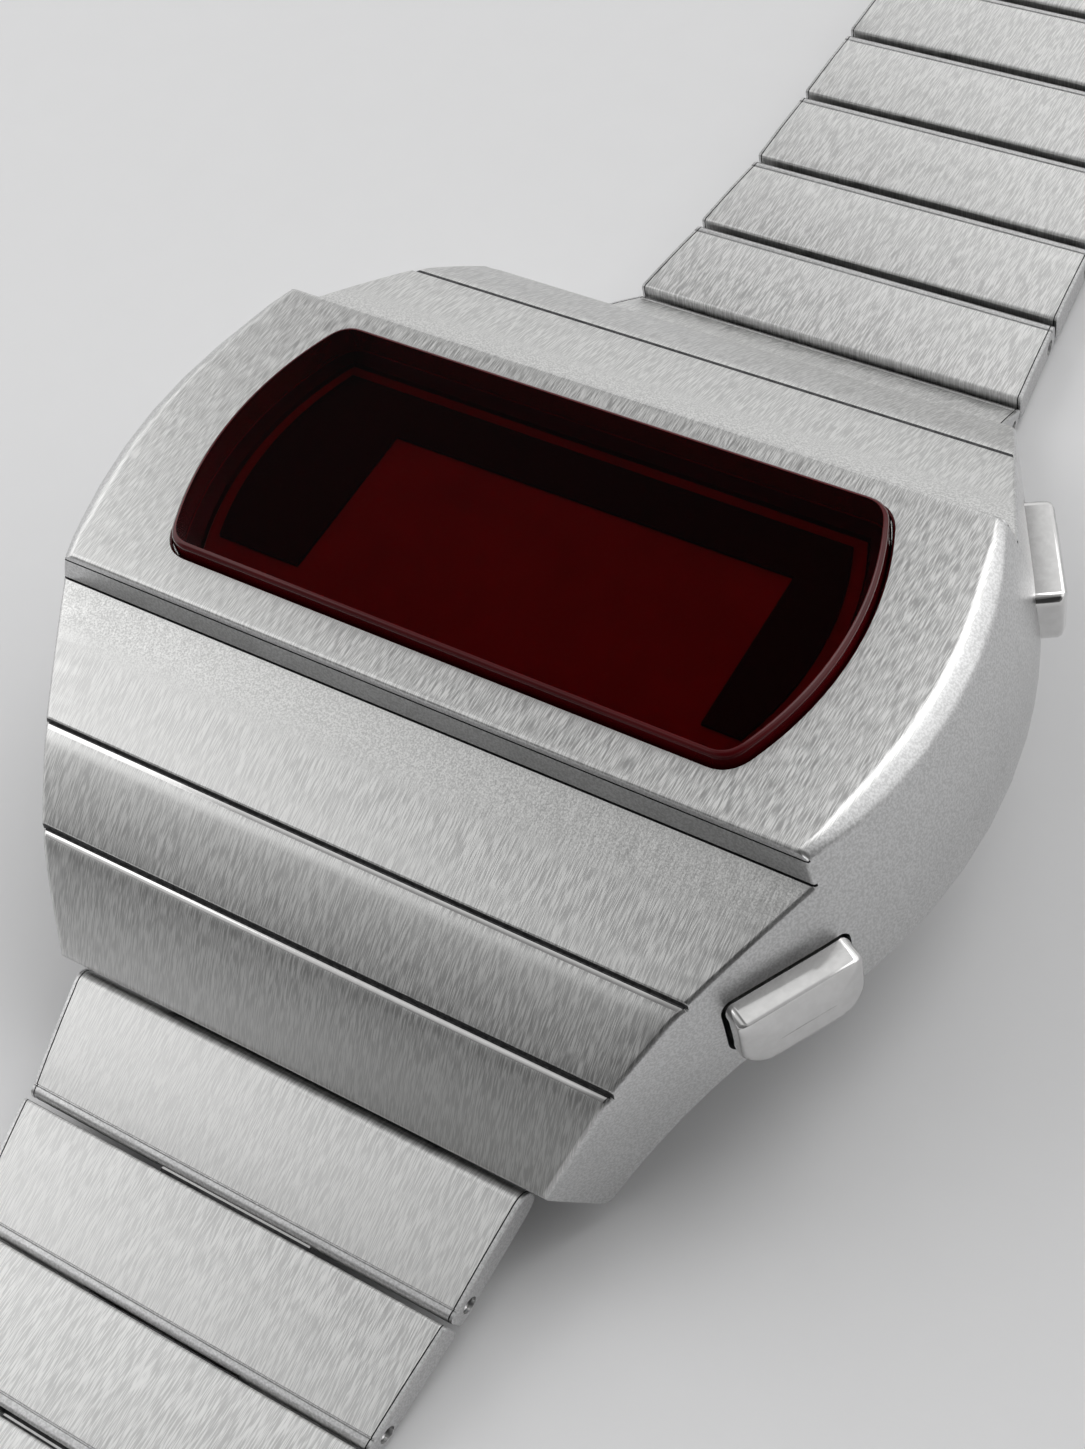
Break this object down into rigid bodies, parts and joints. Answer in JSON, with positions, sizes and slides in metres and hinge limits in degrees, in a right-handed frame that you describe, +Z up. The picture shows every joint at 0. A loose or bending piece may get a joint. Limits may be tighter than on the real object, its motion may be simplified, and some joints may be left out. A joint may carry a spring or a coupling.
{
  "type": "digital wristwatch",
  "caption": "Steel digital wristwatch with a barrel-shaped case stepped in facets, a ruby window, side buttons and a tapering link bracelet with a folding clasp.",
  "frame": {"origin": "centre of the case back's flat outer face, on the table that the open watch lies on", "axes": "+X towards 3 o'clock, the side with the buttons; +Y towards 12 o'clock; +Z up, out of the window"},
  "size_m": [0.0368, 0.1865, 0.0138],
  "materials": {
    "steel": "brushed lengthways",
    "band_steel": "brushed lengthways",
    "polished_steel": "polished",
    "crystal": "polished, ruby tint",
    "filter": "glossy dark red",
    "mask": "flat black",
    "rubber": "soft black",
    "display": "dark ceramic",
    "board": "lacquered",
    "chip": "moulded",
    "can": "plated",
    "frame": "moulded",
    "cell": "satin",
    "contact": "plated"
  },
  "bodies": {
    "head": {"case_body": "steel", "crystal": "crystal", "crystal_gasket": "rubber", "display_mask": "mask", "display_filter": "filter", "led_display": "display", "circuit_board": "board", "driver_chip": "chip", "timing_crystal": "can", "trimmer": "can", "module_frame": "frame", "module_screws": "polished_steel", "battery_left": "cell", "battery_right": "cell", "battery_contacts": "contact", "upper_switch_leaf": "contact", "lower_switch_leaf": "contact", "case_back": "steel", "case_back_gasket": "rubber", "case_back_screws": "polished_steel", "near_spring_bar": "polished_steel", "far_spring_bar": "polished_steel", "upper_button_spring": "polished_steel", "upper_button_seal": "rubber", "lower_button_spring": "polished_steel", "lower_button_seal": "rubber"},
    "upper_button": {"upper_button": "polished_steel", "upper_button_clip": "polished_steel"},
    "lower_button": {"lower_button": "polished_steel", "lower_button_clip": "polished_steel"},
    "near_link_1": {"near_link_1": "band_steel"},
    "near_link_2": {"near_link_2": "band_steel"},
    "near_link_3": {"near_link_3": "band_steel"},
    "near_link_4": {"near_link_4": "band_steel"},
    "near_link_5": {"near_link_5": "band_steel"},
    "near_link_6": {"near_link_6": "band_steel"},
    "near_link_7": {"near_link_7": "band_steel"},
    "near_link_8": {"near_link_8": "band_steel"},
    "near_link_9": {"near_link_9": "band_steel"},
    "near_link_10": {"near_link_10": "band_steel"},
    "near_link_11": {"near_link_11": "band_steel"},
    "near_link_12": {"near_link_12": "band_steel"},
    "hook": {"hook": "band_steel"},
    "far_link_1": {"far_link_1": "band_steel"},
    "far_link_2": {"far_link_2": "band_steel"},
    "far_link_3": {"far_link_3": "band_steel"},
    "far_link_4": {"far_link_4": "band_steel"},
    "far_link_5": {"far_link_5": "band_steel"},
    "far_link_6": {"far_link_6": "band_steel"},
    "far_link_7": {"far_link_7": "band_steel"},
    "far_link_8": {"far_link_8": "band_steel"},
    "far_link_9": {"far_link_9": "band_steel"},
    "far_link_10": {"far_link_10": "band_steel"},
    "clasp": {"clasp_ladder": "band_steel", "clasp_pin": "polished_steel"},
    "cover": {"clasp_cover": "band_steel"}
  },
  "joints": [
    {"name": "upper_button_press", "type": "slide", "parent": "head", "child": "upper_button", "axis": [-0.8704, -0.4924, 0], "range_m": [0, 0.0007], "stiffness_N_per_m": 400, "springref_m": -0.0004, "deforming": ["upper_button_spring"]},
    {"name": "lower_button_press", "type": "slide", "parent": "head", "child": "lower_button", "axis": [-0.8704, 0.4924, 0], "range_m": [0, 0.0007], "stiffness_N_per_m": 400, "springref_m": -0.0004, "deforming": ["lower_button_spring"]},
    {"name": "near_link_1_hinge", "type": "hinge", "parent": "head", "child": "near_link_1", "pos_m": [0, -0.0171, 0.0037], "axis": [1, 0, 0], "range_deg": [-10, 37.5]},
    {"name": "near_link_2_hinge", "type": "hinge", "parent": "near_link_1", "child": "near_link_2", "pos_m": [0, -0.02255, 0.00188], "axis": [-1, 0, 0], "range_deg": [-38, 25.9]},
    {"name": "near_link_3_hinge", "type": "hinge", "parent": "near_link_2", "child": "near_link_3", "pos_m": [0, -0.02744, 0.0008], "axis": [1, 0, 0], "range_deg": [-19.5, 44.4]},
    {"name": "near_link_4_hinge", "type": "hinge", "parent": "near_link_3", "child": "near_link_4", "pos_m": [0, -0.03244, 0.0008], "axis": [-1, 0, 0], "range_deg": [-32, 32]},
    {"name": "near_link_5_hinge", "type": "hinge", "parent": "near_link_4", "child": "near_link_5", "pos_m": [0, -0.03744, 0.0008], "axis": [1, 0, 0], "range_deg": [-32, 32]},
    {"name": "near_link_6_hinge", "type": "hinge", "parent": "near_link_5", "child": "near_link_6", "pos_m": [0, -0.04244, 0.0008], "axis": [-1, 0, 0], "range_deg": [-32, 32]},
    {"name": "near_link_7_hinge", "type": "hinge", "parent": "near_link_6", "child": "near_link_7", "pos_m": [0, -0.04744, 0.0008], "axis": [1, 0, 0], "range_deg": [-32, 32]},
    {"name": "near_link_8_hinge", "type": "hinge", "parent": "near_link_7", "child": "near_link_8", "pos_m": [0, -0.05244, 0.0008], "axis": [-1, 0, 0], "range_deg": [-32, 32]},
    {"name": "near_link_9_hinge", "type": "hinge", "parent": "near_link_8", "child": "near_link_9", "pos_m": [0, -0.05744, 0.0008], "axis": [1, 0, 0], "range_deg": [-32, 32]},
    {"name": "near_link_10_hinge", "type": "hinge", "parent": "near_link_9", "child": "near_link_10", "pos_m": [0, -0.06244, 0.0008], "axis": [-1, 0, 0], "range_deg": [-32, 32]},
    {"name": "near_link_11_hinge", "type": "hinge", "parent": "near_link_10", "child": "near_link_11", "pos_m": [0, -0.06744, 0.0008], "axis": [1, 0, 0], "range_deg": [-32, 32]},
    {"name": "near_link_12_hinge", "type": "hinge", "parent": "near_link_11", "child": "near_link_12", "pos_m": [0, -0.07244, 0.0008], "axis": [-1, 0, 0], "range_deg": [-32, 32]},
    {"name": "hook_hinge", "type": "hinge", "parent": "near_link_12", "child": "hook", "pos_m": [0, -0.07744, 0.0008], "axis": [1, 0, 0], "range_deg": [-32, 32]},
    {"name": "far_link_1_hinge", "type": "hinge", "parent": "head", "child": "far_link_1", "pos_m": [0, 0.0171, 0.0037], "axis": [-1, 0, 0], "range_deg": [-21.7, 25.7]},
    {"name": "far_link_2_hinge", "type": "hinge", "parent": "far_link_1", "child": "far_link_2", "pos_m": [0, 0.02207, 0.0008], "axis": [1, 0, 0], "range_deg": [-62.2, 1.7]},
    {"name": "far_link_3_hinge", "type": "hinge", "parent": "far_link_2", "child": "far_link_3", "pos_m": [0, 0.02707, 0.0008], "axis": [-1, 0, 0], "range_deg": [-32, 32]},
    {"name": "far_link_4_hinge", "type": "hinge", "parent": "far_link_3", "child": "far_link_4", "pos_m": [0, 0.03207, 0.0008], "axis": [1, 0, 0], "range_deg": [-32, 32]},
    {"name": "far_link_5_hinge", "type": "hinge", "parent": "far_link_4", "child": "far_link_5", "pos_m": [0, 0.03707, 0.0008], "axis": [-1, 0, 0], "range_deg": [-32, 32]},
    {"name": "far_link_6_hinge", "type": "hinge", "parent": "far_link_5", "child": "far_link_6", "pos_m": [0, 0.04207, 0.0008], "axis": [1, 0, 0], "range_deg": [-32, 32]},
    {"name": "far_link_7_hinge", "type": "hinge", "parent": "far_link_6", "child": "far_link_7", "pos_m": [0, 0.04707, 0.0008], "axis": [-1, 0, 0], "range_deg": [-32, 32]},
    {"name": "far_link_8_hinge", "type": "hinge", "parent": "far_link_7", "child": "far_link_8", "pos_m": [0, 0.05207, 0.0008], "axis": [1, 0, 0], "range_deg": [-32, 32]},
    {"name": "far_link_9_hinge", "type": "hinge", "parent": "far_link_8", "child": "far_link_9", "pos_m": [0, 0.05707, 0.0008], "axis": [-1, 0, 0], "range_deg": [-32, 32]},
    {"name": "far_link_10_hinge", "type": "hinge", "parent": "far_link_9", "child": "far_link_10", "pos_m": [0, 0.06207, 0.0008], "axis": [1, 0, 0], "range_deg": [-32, 32]},
    {"name": "clasp_hinge", "type": "hinge", "parent": "far_link_10", "child": "clasp", "pos_m": [0, 0.06707, 0.0008], "axis": [-1, 0, 0], "range_deg": [-32, 32]},
    {"name": "cover_hinge", "type": "hinge", "parent": "clasp", "child": "cover", "pos_m": [0, 0.06907, 0.0008], "axis": [1, 0, 0], "range_deg": [0, 100]}
  ]
}
